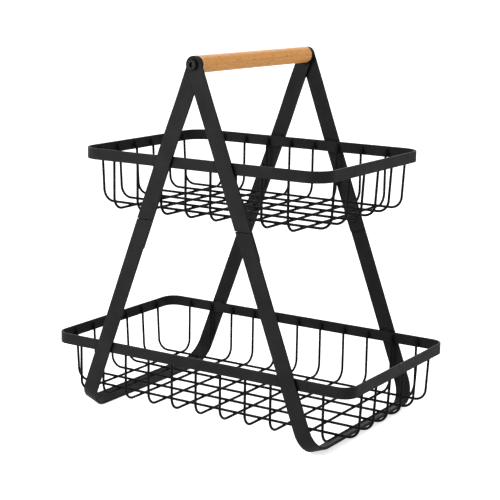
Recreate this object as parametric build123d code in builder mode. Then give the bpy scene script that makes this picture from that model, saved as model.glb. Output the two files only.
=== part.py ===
from build123d import *
from math import atan2, cos, radians, sin, tan
import os

# Two-tier wire basket that stands on two U-shaped flat-bar frames and is carried by a round
# wooden grip. X runs along the long side of the baskets, Y runs from front to back along the
# grip, and Z is up. The origin is on the surface the basket stands on, under its centre.
# All lengths are in millimetres.

# Baskets
lower_rim_length = 400.0
upper_rim_length = 323.0
rim_width = 236.0
lower_rim_top = 86.3
upper_rim_top = 311.3
rim_height = 12.8
rim_thickness = 2.5
lower_rim_corner_radius = 17.0
upper_rim_corner_radius = 25.0
rim_edge_radius = 0.4
basket_depth = 70.3
lower_cross_wire_count = 11
upper_cross_wire_count = 8
long_wire_count = 6
lower_end_margin = 35.0
upper_end_margin = 46.0
side_margin = 35.5
wire_diameter = 3.0
wire_bend_radius = 14.0
long_wire_lean = 3.2
lower_cross_wire_inset = 2.0
upper_cross_wire_inset = 3.0
lower_long_wire_inset = 0.3
upper_long_wire_inset = 2.6
wire_kick_start = 1.0
wire_kick_length = 4.5
wire_kick_radius = 5.0
wire_top_drop = 3.5
wire_crossing_gap = 0.02

# Frames and legs
leg_angle = 20.5
strip_width = 19.0
strip_thickness = 3.0
strip_edge_radius = 0.4
frame_bend_radius = 25.0
pivot_height = 413.5
seam_below_basket = 3.0
seam_gap = 0.9
joggle_above_rim = 1.0
joggle_corner_share = 0.25
joggle_bend_share = 0.2
top_pull_in = 2.0
overrun = 20.0

# Splice plates behind the leg seams
splice_width = 18.0
splice_thickness = 2.0
splice_length = 70.0
splice_below_seam = 35.0
splice_corner_radius = 2.0
splice_screw_diameter = 4.0
splice_screw_depth = 2.3
splice_screw_head_diameter = 7.0
splice_screw_head_height = 1.8
splice_screw_socket_width = 2.5
splice_screw_socket_depth = 1.2
splice_screw_first = 9.0
splice_screw_spacing = 11.0

# Grip
grip_diameter = 19.2
grip_end_clearance = 0.3
grip_chamfer = 1.0
grip_screw_diameter = 6.0
grip_screw_length = 25.0
grip_screw_head_diameter = 11.5
grip_screw_head_height = 3.3
grip_screw_head_edge = 1.6
grip_screw_socket_width = 6.0
grip_screw_socket_depth = 2.6
grip_screw_clearance = 0.1
insert_diameter = 10.0
insert_length = 15.0
fit_clearance = 0.05

os.makedirs("parts", exist_ok=True)

# Places that follow from the sizes above
angle = radians(leg_angle)
inner_y = rim_width / 2
outer_y = inner_y + strip_thickness
half_strip = strip_width / 2
edge_lift = strip_edge_radius * (cos(angle) + sin(angle) - 1)
frame_drop = (pivot_height - half_strip * sin(angle) + edge_lift) / cos(angle)
seam_height = upper_rim_top - basket_depth - seam_below_basket
seam_drop = (pivot_height - seam_height) / cos(angle)
grip_half_length = inner_y - top_pull_in - grip_end_clearance
# The joggles of the upper legs lie between the upper rim and the notch where two legs part
rim_drop = (pivot_height - upper_rim_top - joggle_above_rim - half_strip * sin(angle)) / cos(angle)
notch_drop = half_strip / tan(angle)
joggle_room = rim_drop - notch_drop
joggle_start = rim_drop - joggle_corner_share * joggle_room
joggle_end = notch_drop + joggle_corner_share * joggle_room
sides = {"left": -1, "right": 1}
ends = {"front": -1, "back": 1}


def save(piece, name):
    piece.part.label = name
    export_step(piece.part, f"parts/{name}.step")


def leg_section_plane(side):
    # Local X is the object's Y, local Y runs up along the leg, and the pivot is the origin.
    width_axis = Vector(cos(angle), 0, side * sin(angle))
    return Plane(origin=(0, 0, pivot_height), x_dir=(0, 1, 0), z_dir=width_axis)


def leg_face_plane(side, end, y):
    # Local Y runs up along the leg, and the plane's normal points out of the basket.
    up_axis = Vector(-side * sin(angle), 0, cos(angle))
    normal = Vector(0, end, 0)
    return Plane(origin=(0, y, pivot_height), x_dir=up_axis.cross(normal), z_dir=normal)


def screw_drops():
    first = seam_drop + splice_screw_first
    return [first, first + splice_screw_spacing]


# Rims: flat bar on edge, rolled into a rounded rectangle and butt welded
def make_rim(length, corner_radius, top, name):
    with BuildPart() as rim:
        with BuildSketch(Plane.XY.offset(top - rim_height)):
            RectangleRounded(length, rim_width, corner_radius)
            offset(amount=-rim_thickness, mode=Mode.SUBTRACT)
        extrude(amount=rim_height)
        rim_edges = rim.edges().group_by(Axis.Z)
        fillet(rim_edges[0] + rim_edges[-1], radius=rim_edge_radius)
    save(rim, name)


# Basket wires: U-shaped round wires, each end kicked out to the inside of the rim and welded there
def make_wire(plane, wall, inset, lean_angle, top, floor, name):
    kick_bottom = top - rim_height + wire_kick_start
    side = wall - inset
    floor_end = side - (kick_bottom - floor) * tan(radians(lean_angle))
    half_route = [
        (floor_end, floor),
        (side, kick_bottom),
        (wall, kick_bottom + wire_kick_length),
        (wall, top - wire_top_drop),
    ]
    mirrored_half = [(-across, height) for across, height in reversed(half_route)]
    with BuildPart() as wire:
        with BuildLine(plane) as route:
            FilletPolyline(
                *mirrored_half,
                *half_route,
                radius=[wire_kick_radius] * 2 + [wire_bend_radius] * 2 + [wire_kick_radius] * 2,
            )
        with BuildSketch(Plane(origin=route.wire() @ 0, z_dir=route.wire() % 0)):
            Circle(wire_diameter / 2)
        sweep()
    save(wire, name)


def wire_places(length, margin, count):
    pitch = (length - 2 * margin) / (count - 1)
    return [(index - (count - 1) / 2) * pitch for index in range(count)]


def make_basket(tier, length, corner_radius, top, end_margin, cross_count, cross_inset, long_inset):
    make_rim(length, corner_radius, top, f"{tier}_rim")
    to_wire = rim_thickness + wire_diameter / 2
    cross_floor = top - basket_depth + wire_diameter / 2
    long_floor = cross_floor + wire_diameter + wire_crossing_gap
    for number, x in enumerate(wire_places(length, end_margin, cross_count), start=1):
        across = Plane(origin=(x, 0, 0), x_dir=(0, 1, 0), z_dir=(1, 0, 0))
        name = f"{tier}_cross_wire_{number}"
        make_wire(across, inner_y - to_wire, cross_inset, 0, top, cross_floor, name)
    for number, y in enumerate(wire_places(rim_width, side_margin, long_wire_count), start=1):
        along = Plane(origin=(0, y, 0), x_dir=(1, 0, 0), z_dir=(0, -1, 0))
        name = f"{tier}_long_wire_{number}"
        make_wire(along, length / 2 - to_wire, long_inset, long_wire_lean, top, long_floor, name)


# Lower frames: flat bar bent twice into a U that carries the lower basket and stands on its
# tilted cross bar
def make_lower_frame(side, name):
    section = leg_section_plane(side)
    top = -seam_drop + overrun
    with BuildPart() as frame:
        with BuildSketch(section):
            with BuildLine():
                outer = FilletPolyline(
                    (-outer_y, top),
                    (-outer_y, -frame_drop),
                    (outer_y, -frame_drop),
                    (outer_y, top),
                    radius=frame_bend_radius + strip_thickness,
                )
                inner = FilletPolyline(
                    (-inner_y, top),
                    (-inner_y, strip_thickness - frame_drop),
                    (inner_y, strip_thickness - frame_drop),
                    (inner_y, top),
                    radius=frame_bend_radius,
                )
                Line(outer @ 0, inner @ 0)
                Line(outer @ 1, inner @ 1)
            make_face()
        extrude(amount=half_strip, both=True)
        bar_sides = frame.faces().sort_by(Axis(section.origin, section.z_dir))
        fillet(bar_sides[0].edges() + bar_sides[-1].edges(), radius=strip_edge_radius)
        split(bisect_by=Plane.XY.offset(seam_height - seam_gap / 2), keep=Keep.BOTTOM)
        for end in ends.values():
            inner_face = leg_face_plane(side, -end, end * inner_y)
            for drop in screw_drops():
                with Locations(inner_face * Pos(0, -drop, 0)):
                    Hole(splice_screw_diameter / 2 + fit_clearance, splice_screw_depth)
    save(frame, name)


# Upper legs: flat bar with a round end at the grip. Above the upper basket all are set in to
# meet the grip, and the right ones out again by one thickness so that they lie over the left
def make_upper_leg(side, end, name):
    lap = strip_thickness if side > 0 else 0
    shift = lap - top_pull_in
    bottom = -seam_drop - overrun
    slope = atan2(abs(shift), joggle_start - joggle_end)
    with BuildPart() as leg:
        with BuildSketch(leg_section_plane(side)):
            with BuildLine():
                for y in (inner_y, outer_y):
                    if shift:
                        FilletPolyline(
                            (end * y, bottom),
                            (end * y, -joggle_start),
                            (end * (y + shift), -joggle_end),
                            (end * (y + shift), overrun),
                            radius=joggle_bend_share * joggle_room / tan(slope / 2),
                        )
                    else:
                        Line((end * y, bottom), (end * y, overrun))
                Line((end * inner_y, bottom), (end * outer_y, bottom))
                Line((end * (inner_y + shift), overrun), (end * (outer_y + shift), overrun))
            make_face()
        extrude(amount=half_strip, both=True)
        with BuildSketch(leg_face_plane(side, end, 0)):
            Circle(half_strip)
            with Locations((0, bottom / 2)):
                Rectangle(strip_width, -bottom)
        extrude(amount=outer_y + lap, mode=Mode.INTERSECT)
        with Locations(leg_face_plane(side, end, end * (outer_y + shift))):
            Hole(grip_screw_diameter / 2 + grip_screw_clearance)
        split(bisect_by=Plane.XY.offset(seam_height + seam_gap / 2), keep=Keep.TOP)
    save(leg, name)


# Splice plates: welded behind the upper legs, screwed to the lower legs
def make_splice(side, end, name):
    middle = -seam_drop - splice_below_seam + splice_length / 2
    with BuildPart() as plate:
        with BuildSketch(leg_face_plane(side, -end, end * inner_y)):
            with Locations((0, middle)):
                RectangleRounded(splice_width, splice_length, splice_corner_radius)
            with Locations(*[(0, -drop) for drop in screw_drops()]):
                Circle(splice_screw_diameter / 2 + fit_clearance, mode=Mode.SUBTRACT)
        extrude(amount=splice_thickness)
    save(plate, name)


def make_splice_screws(side, end, name):
    seat = leg_face_plane(side, -end, end * (inner_y - splice_thickness))
    shank_length = splice_thickness + splice_screw_depth - fit_clearance
    with BuildPart() as screws:
        for drop in screw_drops():
            head = Plane(seat.location * Pos(0, -drop, 0))
            with BuildSketch(head):
                Circle(splice_screw_diameter / 2)
            extrude(amount=-shank_length)
            with BuildSketch(head):
                Circle(splice_screw_head_diameter / 2)
            extrude(amount=splice_screw_head_height)
            with BuildSketch(head.offset(splice_screw_head_height)):
                RegularPolygon(splice_screw_socket_width / 2, 6, major_radius=False)
            extrude(amount=-splice_screw_socket_depth, mode=Mode.SUBTRACT)
    save(screws, name)


# Grip: a turned dowel with a threaded insert in each end, held by one button-head screw
def make_grip():
    with BuildPart() as grip:
        with BuildSketch(Plane.XZ.offset(-grip_half_length)):
            with Locations((0, pivot_height)):
                Circle(grip_diameter / 2)
        extrude(amount=2 * grip_half_length)
        chamfer(grip.edges().filter_by(GeomType.CIRCLE), length=grip_chamfer)
        for end in ends.values():
            with Locations(grip_end_plane(end)):
                CounterBoreHole(
                    grip_screw_diameter / 2 + grip_screw_clearance,
                    insert_diameter / 2 + fit_clearance,
                    insert_length + fit_clearance,
                    grip_screw_length,
                )
    save(grip, "handle_grip")


def grip_end_plane(end):
    return Plane(origin=(0, end * grip_half_length, pivot_height), z_dir=(0, end, 0))


def make_grip_insert(end, name):
    with BuildPart() as insert:
        with BuildSketch(grip_end_plane(end)):
            Circle(insert_diameter / 2)
            Circle(grip_screw_diameter / 2 + fit_clearance, mode=Mode.SUBTRACT)
        extrude(amount=-insert_length)
    save(insert, name)


def make_grip_screw(end, name):
    head_y = end * (outer_y + strip_thickness - top_pull_in)
    seat = Plane(origin=(0, head_y, pivot_height), z_dir=(0, end, 0))
    with BuildPart() as screw:
        with BuildSketch(seat):
            Circle(grip_screw_diameter / 2)
        extrude(amount=-grip_screw_length)
        with BuildSketch(seat):
            Circle(grip_screw_head_diameter / 2)
        extrude(amount=grip_screw_head_height)
        top_edge = screw.edges().filter_by(GeomType.CIRCLE).sort_by(Axis((0, 0, 0), (0, end, 0)))[-1]
        fillet(top_edge, radius=grip_screw_head_height - grip_screw_head_edge)
        with BuildSketch(seat.offset(grip_screw_head_height)):
            RegularPolygon(grip_screw_socket_width / 2, 6, major_radius=False)
        extrude(amount=-grip_screw_socket_depth, mode=Mode.SUBTRACT)
    save(screw, name)


make_basket(
    "lower",
    lower_rim_length,
    lower_rim_corner_radius,
    lower_rim_top,
    lower_end_margin,
    lower_cross_wire_count,
    lower_cross_wire_inset,
    lower_long_wire_inset,
)
make_basket(
    "upper",
    upper_rim_length,
    upper_rim_corner_radius,
    upper_rim_top,
    upper_end_margin,
    upper_cross_wire_count,
    upper_cross_wire_inset,
    upper_long_wire_inset,
)
for side_name, side in sides.items():
    make_lower_frame(side, f"lower_frame_{side_name}")
    for end_name, end in ends.items():
        place = f"{end_name}_{side_name}"
        make_upper_leg(side, end, f"upper_leg_{place}")
        make_splice(side, end, f"splice_plate_{place}")
        make_splice_screws(side, end, f"splice_screws_{place}")
make_grip()
for end_name, end in ends.items():
    make_grip_insert(end, f"grip_insert_{end_name}")
    make_grip_screw(end, f"grip_screw_{end_name}")
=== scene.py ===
from math import asin, cos, pi, radians, sin, sqrt, tan
from random import Random

import bmesh
import bpy
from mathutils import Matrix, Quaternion, Vector


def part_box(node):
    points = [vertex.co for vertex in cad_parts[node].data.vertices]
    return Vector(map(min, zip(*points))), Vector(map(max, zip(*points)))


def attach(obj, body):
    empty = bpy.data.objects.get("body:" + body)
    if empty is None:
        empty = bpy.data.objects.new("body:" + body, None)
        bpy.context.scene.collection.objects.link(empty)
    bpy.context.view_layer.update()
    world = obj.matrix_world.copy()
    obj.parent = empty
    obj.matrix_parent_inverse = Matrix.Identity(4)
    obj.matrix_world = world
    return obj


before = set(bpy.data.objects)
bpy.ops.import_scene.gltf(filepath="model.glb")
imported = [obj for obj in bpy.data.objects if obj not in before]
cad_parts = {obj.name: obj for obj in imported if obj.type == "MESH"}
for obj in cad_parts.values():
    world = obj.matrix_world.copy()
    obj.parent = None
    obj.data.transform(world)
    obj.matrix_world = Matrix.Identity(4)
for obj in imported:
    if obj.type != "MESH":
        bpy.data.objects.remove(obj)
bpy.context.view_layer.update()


# Camera: a long lens a little above the baskets, in front and to the right of them, held
# almost level. Its angle, distance and lens were fitted to the photograph.
azimuth = radians(32.363)
elevation = radians(11.729)
roll = radians(0.958)
distance = 1.6261
target = Vector((-0.0014, 0, 0.1907))
back = Vector((sin(azimuth) * cos(elevation), -cos(azimuth) * cos(elevation), sin(elevation)))

lens = bpy.data.cameras.new("camera")
lens.sensor_width = 36
lens.lens = 99.64
lens.clip_end = 100
camera = bpy.data.objects.new("camera", lens)
camera.location = target + back * distance
camera.rotation_mode = "QUATERNION"
camera.rotation_quaternion = back.to_track_quat("Z", "Y") @ Quaternion((0, 0, 1), roll)
bpy.context.collection.objects.link(camera)
bpy.context.scene.camera = camera
bpy.context.scene.view_settings.view_transform = "Standard"


# Studio: a white paper floor that runs out of the picture, a white surround and broad soft
# lamps at plain strength. The floor reads as white, and greys only in the object's shadow.
def add_node(tree, kind, inputs={}, **settings):
    """Adds a node with its settings, sets or links its inputs, and returns its outputs."""
    node = tree.nodes.new(kind)
    for name, value in settings.items():
        setattr(node, name, value)
    for name, value in inputs.items():
        if isinstance(value, bpy.types.NodeSocket):
            tree.links.new(value, node.inputs[name])
        else:
            node.inputs[name].default_value = value
    return node.outputs


def new_material(name):
    """A material without any nodes yet."""
    material = bpy.data.materials.new(name)
    material.use_nodes = True
    material.node_tree.nodes.clear()
    return material


def linear(code):
    """The linear colour of an sRGB hex code."""
    shares = [int(code[start : start + 2], 16) / 255 for start in (1, 3, 5)]
    return [s / 12.92 if s <= 0.04045 else ((s + 0.055) / 1.055) ** 2.4 for s in shares] + [1]


def background_rays(tree):
    """1 for the rays that see the plain background: the camera's, and those of gloss and glass."""
    rays = add_node(tree, "ShaderNodeLightPath")
    camera_or_gloss = add_node(
        tree,
        "ShaderNodeMath",
        {0: rays["Is Camera Ray"], 1: rays["Is Glossy Ray"]},
        operation="MAXIMUM",
    )
    any_of_them = add_node(
        tree,
        "ShaderNodeMath",
        {0: camera_or_gloss[0], 1: rays["Is Transmission Ray"]},
        operation="MAXIMUM",
    )
    return any_of_them[0]


world = bpy.data.worlds.new("white_surround")
bpy.context.scene.world = world
world.use_nodes = True
world.node_tree.nodes.clear()
# The surround looks white, and lights the object with this share of full light
surround_light = 0.4
strength = add_node(
    world.node_tree,
    "ShaderNodeMapRange",
    {"Value": background_rays(world.node_tree), "To Min": surround_light, "To Max": 1.0},
)
surround = add_node(
    world.node_tree,
    "ShaderNodeBackground",
    {"Color": linear("#FFFFFF"), "Strength": strength[0]},
)
add_node(world.node_tree, "ShaderNodeOutputWorld", {"Surface": surround[0]})

floor_size = 40.0
floor_mesh = bpy.data.meshes.new("floor")
floor_maker = bmesh.new()
bmesh.ops.create_grid(floor_maker, x_segments=8, y_segments=8, size=floor_size / 2)
floor_maker.to_mesh(floor_mesh)
floor_maker.free()
floor = bpy.data.objects.new("floor", floor_mesh)
bpy.context.collection.objects.link(floor)
paper = new_material("white_paper")
paper_diffuse = add_node(paper.node_tree, "ShaderNodeBsdfDiffuse", {"Color": linear("#F2F2F2")})
# What the paper shows the camera on top of the light that falls on it, as a share of white
paper_lift = 0.7
lift = add_node(
    paper.node_tree,
    "ShaderNodeMath",
    {0: background_rays(paper.node_tree), 1: paper_lift},
    operation="MULTIPLY",
)
paper_glow = add_node(paper.node_tree, "ShaderNodeEmission", {"Strength": lift[0]})
paper_sum = add_node(
    paper.node_tree,
    "ShaderNodeAddShader",
    {0: paper_diffuse[0], 1: paper_glow[0]},
)
add_node(paper.node_tree, "ShaderNodeOutputMaterial", {"Surface": paper_sum[0]})
floor.data.materials.append(paper)

# Sun lamps light the floor and the object alike at any distance. Each has the direction it
# shines from, its strength as a share of full light, and its width in degrees.
suns = {
    "top_light": ((0.1, -0.1, 1.0), 0.45, 80),
    "back_light": ((-0.5, 0.8, 0.5), 0.25, 40),
}
for name, (direction, share, width) in suns.items():
    lamp = bpy.data.lights.new(name, "SUN")
    lamp.energy = share * pi
    lamp.angle = radians(width)
    lamp_object = bpy.data.objects.new(name, lamp)
    lamp_object.rotation_mode = "QUATERNION"
    lamp_object.rotation_quaternion = Vector(direction).to_track_quat("Z", "Y")
    bpy.context.collection.objects.link(lamp_object)

# Softboxes stand near the object: place, aim, width, height and brightness against white
softboxes = {
    "front_softbox": ((-0.35, -0.75, 0.5), (0, -0.1, 0.25), 0.6, 0.6, 5.2),
    "right_card": ((0.75, 0.0, 0.06), (0.2, 0, 0.09), 0.4, 0.1, 3.0),
}
for name, (stand, aim, width, height, brightness) in softboxes.items():
    lamp = bpy.data.lights.new(name, "AREA")
    lamp.shape = "RECTANGLE"
    lamp.size = width
    lamp.size_y = height
    lamp.energy = brightness * pi * width * height
    lamp_object = bpy.data.objects.new(name, lamp)
    lamp_object.location = stand
    lamp_object.rotation_mode = "QUATERNION"
    lamp_object.rotation_quaternion = (Vector(stand) - Vector(aim)).to_track_quat("Z", "Y")
    lamp_object.visible_camera = False
    bpy.context.collection.objects.link(lamp_object)


# Black powder coat: polyester powder baked onto the welded steel of both baskets, the frames
# and the legs. It gives a matt, almost neutral black with a faint orange-peel skin, a little
# uneven in depth, and slightly smoother where it thins out over the edges. The edges are lighter
# too, partly from that wear and partly as a painted highlight, and inner corners carry painted
# shade.

# The sockets of a colour Mix node go by number, because their names repeat: the share of the
# second colour, the two colours, and the mixed colour that comes out
SHARE = 0
FIRST = 6
SECOND = 7
MIXED = 2


def edge_share(tree, radius):
    """From 0 on flat faces to 1 on edges and tight bends."""
    normal = add_node(tree, "ShaderNodeNewGeometry")["Normal"]
    rounded = add_node(tree, "ShaderNodeBevel", {"Radius": radius}, samples=6)
    alike = add_node(
        tree,
        "ShaderNodeVectorMath",
        {0: normal, 1: rounded[0]},
        operation="DOT_PRODUCT",
    )
    # How well the two normals agree where a face counts as flat, and where as an edge
    on_flat = 0.98
    on_edge = 0.8
    share = add_node(
        tree,
        "ShaderNodeMapRange",
        {"Value": alike["Value"], "From Min": on_flat, "From Max": on_edge},
    )
    return share[0]


def noise(tree, vector, size_mm, detail):
    """Noise between 0 and 1 with features of that size, in coordinates that are in metres."""
    features_per_metre = 1000 / size_mm
    pattern = add_node(
        tree,
        "ShaderNodeTexNoise",
        {"Vector": vector, "Scale": features_per_metre, "Detail": detail},
    )
    return pattern["Fac"]


def powder_coat(name, thin, full):
    """The coat with its colours where it lies thin and where it lies full."""
    material = new_material(name)
    tree = material.node_tree
    place = add_node(tree, "ShaderNodeTexCoord")["Object"]
    coat_depth = add_node(
        tree,
        "ShaderNodeMapRange",
        {
            "Value": noise(tree, place, size_mm=30, detail=4),
            "From Min": 0.35,
            "From Max": 0.65,
        },
    )
    coat_colour = add_node(
        tree,
        "ShaderNodeMix",
        {SHARE: coat_depth[0], FIRST: linear(thin), SECOND: linear(full)},
        data_type="RGBA",
    )
    # Painted shade: within corners of this size the coat is darkened to near black, where shade
    # falls
    painted_shade_reach = 0.006
    painted_shade_occlusion = add_node(tree, "ShaderNodeAmbientOcclusion", {"Distance": painted_shade_reach}, samples=8)
    painted_shade_share = add_node(
        tree,
        "ShaderNodeMapRange",
        {"Value": painted_shade_occlusion["AO"], "From Min": 0.95, "From Max": 0.65},
    )
    painted_shade_colour = add_node(
        tree,
        "ShaderNodeMix",
        {SHARE: painted_shade_share[0], FIRST: coat_colour[MIXED], SECOND: linear("#070707")},
        data_type="RGBA",
    )
    edge_width = 0.0008
    # The edges turn lighter and smoother: partly wear of the thinner coat, partly a painted
    # highlight of the light that rounded edges catch
    wear_and_highlight_share = add_node(
        tree,
        "ShaderNodeMath",
        {0: edge_share(tree, edge_width), 1: noise(tree, place, size_mm=12, detail=3)},
        operation="MULTIPLY",
    )
    wear_and_highlight_colour = add_node(
        tree,
        "ShaderNodeMix",
        {SHARE: wear_and_highlight_share[0], FIRST: painted_shade_colour[MIXED], SECOND: linear("#2E2E30")},
        data_type="RGBA",
    )
    smoothest = 0.5
    roughest = 0.62
    coat_roughness = add_node(
        tree,
        "ShaderNodeMapRange",
        {
            "Value": noise(tree, place, size_mm=8, detail=3),
            "From Min": 0.3,
            "From Max": 0.7,
            "To Min": smoothest,
            "To Max": roughest,
        },
    )
    edge_roughness = add_node(
        tree,
        "ShaderNodeMix",
        {"Factor": wear_and_highlight_share[0], "A": coat_roughness[0], "B": smoothest},
    )
    # The waves of the real skin are as wide as this and less deep
    orange_peel = add_node(
        tree,
        "ShaderNodeBump",
        {
            "Height": noise(tree, place, size_mm=1.5, detail=2),
            "Strength": 0.35,
            "Distance": 0.0003,
        },
    )
    coat_shader = add_node(
        tree,
        "ShaderNodeBsdfPrincipled",
        {
            "Base Color": wear_and_highlight_colour[MIXED],
            "Roughness": edge_roughness[0],
            "Normal": orange_peel[0],
            "IOR": 1.5,
            "Specular IOR Level": 0.05,
        },
    )
    add_node(tree, "ShaderNodeOutputMaterial", {"Surface": coat_shader[0]})
    return material


def coat(material, *starts):
    """Puts the material on each CAD piece whose name starts so."""
    for name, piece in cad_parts.items():
        if name.startswith(starts):
            piece.material_slots[0].material = material


# The round wires get a darker copy of the flat bars' coat: painted shade that makes them read a
# deeper black
bar_coat = powder_coat("black_powder_coat_on_flat_steel", "#1A1A1B", "#202021")
wire_coat_painted_darker = powder_coat("black_powder_coat_on_wire_painted_darker", "#0B0B0B", "#0F0F10")
coat(bar_coat, "lower_rim", "upper_rim", "lower_frame", "upper_leg", "splice_plate")
coat(wire_coat_painted_darker, "lower_cross_wire", "lower_long_wire", "upper_cross_wire", "upper_long_wire")


# Welds: the steel pressed out by resistance welding leaves a small fillet on both sides of
# each wire end and a short neck at each wire crossing, no two quite alike. Short rippled
# fillets above and below each rim join it to the legs. The coat goes over all of them.
wire_low, wire_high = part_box("lower_cross_wire_1")
wire_radius = (wire_high.x - wire_low.x) / 2
up = Vector((0, 0, 1))
uneven = Random(7)


def add_tube(maker, rings):
    """Skins a stack of closed rings with as many points each, and closes both its ends."""
    rows = [[maker.verts.new(point) for point in ring] for ring in rings]
    for below, above in zip(rows, rows[1:]):
        for index in range(len(below)):
            beside = (index + 1) % len(below)
            maker.faces.new((below[index], below[beside], above[beside], above[index]))
    maker.faces.new(list(reversed(rows[0])))
    maker.faces.new(rows[-1])


def bead_shares(ring_count):
    """Evenly spaced places along a bead, from near 0 to near 1, so that its ends stay blunt."""
    blunt = 0.3
    return [(number + blunt) / (ring_count - 1 + 2 * blunt) for number in range(ring_count)]


def add_end_weld(maker, top, inward):
    """A bead in the corners between a wire's upright end and the rim face that it stands against."""
    usual_length = 0.0038
    usual_fillet = 0.0011
    length = usual_length * uneven.uniform(0.9, 1.05)
    fillet = usual_fillet * uneven.uniform(0.8, 1.1)
    sink = 0.0001
    ring_count = 9
    arc_steps = 6
    first_turn = 1.5 * pi
    side = up.cross(inward)
    rings = []
    for share in bead_shares(ring_count):
        # An arc from the rim face to the wire that runs smoothly into both
        radius = fillet * sqrt(sin(pi * share))
        foot = sqrt(4 * wire_radius * radius)
        last_turn = pi - asin((wire_radius - radius) / (wire_radius + radius))
        half = [(foot, -sink)]
        for step in range(arc_steps + 1):
            turn = first_turn + (last_turn - first_turn) * step / arc_steps
            half.append((foot + radius * cos(turn), radius * (1 + sin(turn))))
        outline = half + [(-across, depth) for across, depth in reversed(half)]
        centre = top - up * length * (1 - share)
        rings.append([centre + side * across + inward * depth for across, depth in outline])
    add_tube(maker, rings)


def add_crossing_weld(maker, centre):
    """A neck between a lower wire that runs along Y and an upper wire that runs along X."""
    usual_radius = 0.00135
    flare = usual_radius * uneven.uniform(0.92, 1.03)
    waist = flare * uneven.uniform(0.76, 0.86)
    waist_curve = 1.5
    sink = 0.00005
    ring_heights = (0.0, 0.2, 0.5, 0.8, 1.0)
    ring_steps = 16
    rings = []
    for height in ring_heights:
        radius = waist + (flare - waist) * abs(2 * height - 1) ** waist_curve
        ring = []
        for step in range(ring_steps):
            turn = 2 * pi * step / ring_steps
            x = radius * cos(turn)
            y = radius * sin(turn)
            bottom = sqrt(wire_radius**2 - x**2) - wire_radius - sink
            top = wire_radius - sqrt(wire_radius**2 - y**2) + sink
            ring.append(centre + Vector((x, y, bottom + (top - bottom) * height)))
        rings.append(ring)
    add_tube(maker, rings)


def add_leg_weld(maker, middle, inward, rise):
    """A rippled fillet along X in the corner between a leg's inner face and an edge of the rim."""
    usual_length = 0.013
    usual_size = 0.0018
    length = usual_length * uneven.uniform(0.85, 1.0)
    size = usual_size * uneven.uniform(0.9, 1.05)
    sink = 0.0001
    ring_count = 25
    arc_steps = 6
    ripple_count = 7
    ripple_height = 0.05
    # Over 1, so that the bead tapers only near its ends
    end_fullness = 1.6
    rings = []
    for share in bead_shares(ring_count):
        taper = min(1, end_fullness * sqrt(sin(pi * share)))
        swell = size * taper * (1 + ripple_height * sin(2 * pi * ripple_count * share))
        centre = middle + Vector((length * (share - 0.5), 0, 0))
        ring = [centre - (inward + rise) * sink]
        for step in range(arc_steps + 1):
            # Halfway between a quarter round and a straight slope
            turn = pi / 2 * step / arc_steps
            reach = (1 + 1 / (cos(turn) + sin(turn))) / 2
            ring.append(centre + (inward * cos(turn) + rise * sin(turn)) * swell * reach)
        rings.append(ring)
    add_tube(maker, rings)


def finish_welds(maker, name, material):
    """Makes one piece of the beads in the maker, on the stand that they hold together."""
    mesh = bpy.data.meshes.new(name)
    bmesh.ops.recalc_face_normals(maker, faces=maker.faces)
    maker.to_mesh(mesh)
    maker.free()
    mesh.shade_smooth()
    mesh.materials.append(material)
    welds = bpy.data.objects.new(name, mesh)
    bpy.context.collection.objects.link(welds)
    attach(welds, "stand")


# The legs lean this far from upright and cross at the height of the grip's axis
leg_angle = radians(20.5)
grip_low, grip_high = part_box("handle_grip")
pivot_height = (grip_low.z + grip_high.z) / 2
for tier in ("lower", "upper"):
    cross_boxes = [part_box(name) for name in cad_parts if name.startswith(f"{tier}_cross_wire")]
    long_boxes = [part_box(name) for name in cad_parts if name.startswith(f"{tier}_long_wire")]
    end_maker = bmesh.new()
    for low, high in cross_boxes:
        x = (low.x + high.x) / 2
        add_end_weld(end_maker, Vector((x, low.y, high.z)), Vector((0, 1, 0)))
        add_end_weld(end_maker, Vector((x, high.y, high.z)), Vector((0, -1, 0)))
    for low, high in long_boxes:
        y = (low.y + high.y) / 2
        add_end_weld(end_maker, Vector((low.x, y, high.z)), Vector((1, 0, 0)))
        add_end_weld(end_maker, Vector((high.x, y, high.z)), Vector((-1, 0, 0)))
    finish_welds(end_maker, f"{tier}_rim_welds", bar_coat)
    crossing_maker = bmesh.new()
    for cross_low, cross_high in cross_boxes:
        for long_low, long_high in long_boxes:
            x = (cross_low.x + cross_high.x) / 2
            y = (long_low.y + long_high.y) / 2
            touch = (cross_low.z + 2 * wire_radius + long_low.z) / 2
            add_crossing_weld(crossing_maker, Vector((x, y, touch)))
    finish_welds(crossing_maker, f"{tier}_crossing_welds", wire_coat_painted_darker)
    rim_low, rim_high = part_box(f"{tier}_rim")
    leg_maker = bmesh.new()
    for height, rise in ((rim_high.z, up), (rim_low.z, -up)):
        across = (pivot_height - height) * tan(leg_angle)
        for x in (-across, across):
            add_leg_weld(leg_maker, Vector((x, rim_low.y, height)), Vector((0, 1, 0)), rise)
            add_leg_weld(leg_maker, Vector((x, rim_high.y, height)), Vector((0, -1, 0)), rise)
    finish_welds(leg_maker, f"{tier}_leg_welds", bar_coat)


# Grip: a turned beech dowel, oiled to a warm orange brown. Its grain runs along it, with short
# darker flecks. The two ends were chamfered after turning and are paler there.
beech = new_material("oiled_beech")
tree = beech.node_tree
place = add_node(tree, "ShaderNodeTexCoord")["Object"]
# The patterns are scaled down by these along the grip, which draws them out there, and the
# growth rings are turned about it by this angle
grain_stretch = 0.05
fleck_stretch = 0.14
ring_turn = 0.6
along_grain = add_node(
    tree,
    "ShaderNodeMapping",
    {"Vector": place, "Scale": (1, grain_stretch, 1), "Rotation": (0, ring_turn, 0)},
)
ring_spacing_mm = 2.4
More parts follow.
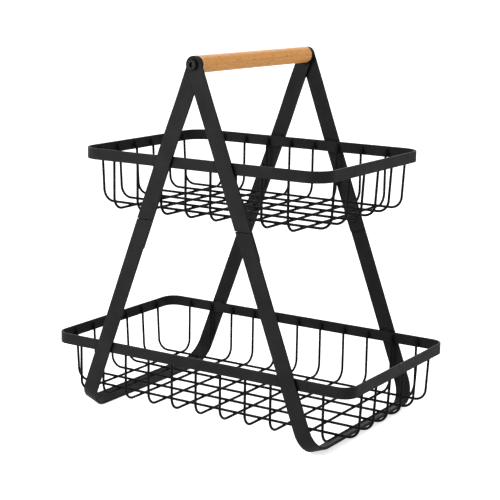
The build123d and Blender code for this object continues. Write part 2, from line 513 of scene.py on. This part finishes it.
# A wave texture of scale 1 has this many bands in a metre
bands_per_metre = 20 / (2 * pi)
rings = add_node(
    tree,
    "ShaderNodeTexWave",
    {
        "Vector": along_grain[0],
        "Scale": 1000 / ring_spacing_mm / bands_per_metre,
        "Distortion": 3.0,
        "Detail": 2.0,
        "Detail Scale": 0.6,
    },
    bands_direction="X",
)
ring_colour = add_node(
    tree,
    "ShaderNodeMix",
    {SHARE: rings["Fac"], FIRST: linear("#E8A457"), SECOND: linear("#D29046")},
    data_type="RGBA",
)
tone = noise(tree, along_grain[0], size_mm=6, detail=3)
tone_colour = add_node(
    tree,
    "ShaderNodeMix",
    {SHARE: tone, FIRST: ring_colour[MIXED], SECOND: linear("#DA974A")},
    data_type="RGBA",
)
# Real flecks are about half this size, and are drawn larger to show
fleck_line = add_node(
    tree,
    "ShaderNodeMapping",
    {"Vector": place, "Scale": (1, fleck_stretch, 1)},
)
flecks = add_node(
    tree,
    "ShaderNodeMapRange",
    {
        "Value": noise(tree, fleck_line[0], size_mm=1.1, detail=2),
        "From Min": 0.52,
        "From Max": 0.7,
        "To Max": 0.6,
    },
)
fleck_colour = add_node(
    tree,
    "ShaderNodeMix",
    {SHARE: flecks[0], FIRST: tone_colour[MIXED], SECOND: linear("#9C6632")},
    data_type="RGBA",
)
axes = add_node(tree, "ShaderNodeSeparateXYZ", {0: place})
from_middle = add_node(tree, "ShaderNodeMath", {0: axes["Y"]}, operation="ABSOLUTE")
# How far from its ends the wood begins to pale, and from where on it is palest
pale_start = 0.0016
pale_full = 0.0008
end_cut = add_node(
    tree,
    "ShaderNodeMapRange",
    {
        "Value": from_middle[0],
        "From Min": grip_high.y - pale_start,
        "From Max": grip_high.y - pale_full,
    },
)
beech_colour = add_node(
    tree,
    "ShaderNodeMix",
    {SHARE: end_cut[0], FIRST: fleck_colour[MIXED], SECOND: linear("#E4BD8C")},
    data_type="RGBA",
)
beech_roughness = add_node(
    tree,
    "ShaderNodeMapRange",
    {
        "Value": noise(tree, along_grain[0], size_mm=1.5, detail=3),
        "To Min": 0.42,
        "To Max": 0.62,
    },
)
beech_grain = add_node(
    tree,
    "ShaderNodeBump",
    {
        "Height": noise(tree, fleck_line[0], size_mm=0.6, detail=2),
        "Strength": 0.3,
        "Distance": 0.0002,
    },
)
beech_shader = add_node(
    tree,
    "ShaderNodeBsdfPrincipled",
    {
        "Base Color": beech_colour[MIXED],
        "Roughness": beech_roughness[0],
        "Normal": beech_grain[0],
        "IOR": 1.47,
        "Specular IOR Level": 0.4,
    },
)
add_node(tree, "ShaderNodeOutputMaterial", {"Surface": beech_shader[0]})
coat(beech, "handle_grip")


# Screws: button-head steel screws with a baked black finish, smoother than the powder coat.
# The two large ones carry the grip, and the small ones sit behind the leg seams.
black_steel = new_material("black_baked_steel")
tree = black_steel.node_tree
place = add_node(tree, "ShaderNodeTexCoord")["Object"]
screw_edge_width = 0.0004
screw_colour = add_node(
    tree,
    "ShaderNodeMix",
    {
        SHARE: edge_share(tree, screw_edge_width),
        FIRST: linear("#050506"),
        SECOND: linear("#131314"),
    },
    data_type="RGBA",
)
screw_roughness = add_node(
    tree,
    "ShaderNodeMapRange",
    {"Value": noise(tree, place, size_mm=2, detail=3), "To Min": 0.3, "To Max": 0.45},
)
screw_skin = add_node(
    tree,
    "ShaderNodeBump",
    {
        "Height": noise(tree, place, size_mm=0.5, detail=2),
        "Strength": 0.2,
        "Distance": 0.0001,
    },
)
screw_shader = add_node(
    tree,
    "ShaderNodeBsdfPrincipled",
    {
        "Base Color": screw_colour[MIXED],
        "Roughness": screw_roughness[0],
        "Normal": screw_skin[0],
        "IOR": 1.5,
        "Specular IOR Level": 0.12,
    },
)
add_node(tree, "ShaderNodeOutputMaterial", {"Surface": screw_shader[0]})
coat(black_steel, "grip_screw", "splice_screws")


# Inserts: zinc-plated steel bushes pressed into the ends of the grip. The plating is a bright
# blue-grey with fine lathe marks, seen only when the grip is off.
zinc = new_material("zinc_plated_steel")
tree = zinc.node_tree
place = add_node(tree, "ShaderNodeTexCoord")["Object"]
plating = add_node(
    tree,
    "ShaderNodeMix",
    {
        SHARE: noise(tree, place, size_mm=3, detail=3),
        FIRST: linear("#AEB2B8"),
        SECOND: linear("#C4C7CA"),
    },
    data_type="RGBA",
)
# The marks run around the bush, so their pattern is drawn out across its axis
mark_stretch = 0.1
across_axis = add_node(
    tree,
    "ShaderNodeMapping",
    {"Vector": place, "Scale": (mark_stretch, 1, mark_stretch)},
)
lathe_marks = noise(tree, across_axis[0], size_mm=0.4, detail=2)
zinc_roughness = add_node(
    tree,
    "ShaderNodeMapRange",
    {"Value": lathe_marks, "To Min": 0.25, "To Max": 0.4},
)
zinc_skin = add_node(
    tree,
    "ShaderNodeBump",
    {"Height": lathe_marks, "Strength": 0.2, "Distance": 0.0001},
)
zinc_shader = add_node(
    tree,
    "ShaderNodeBsdfPrincipled",
    {
        "Base Color": plating[MIXED],
        "Metallic": 1.0,
        "Roughness": zinc_roughness[0],
        "Normal": zinc_skin[0],
    },
)
add_node(tree, "ShaderNodeOutputMaterial", {"Surface": zinc_shader[0]})
coat(zinc, "grip_insert")
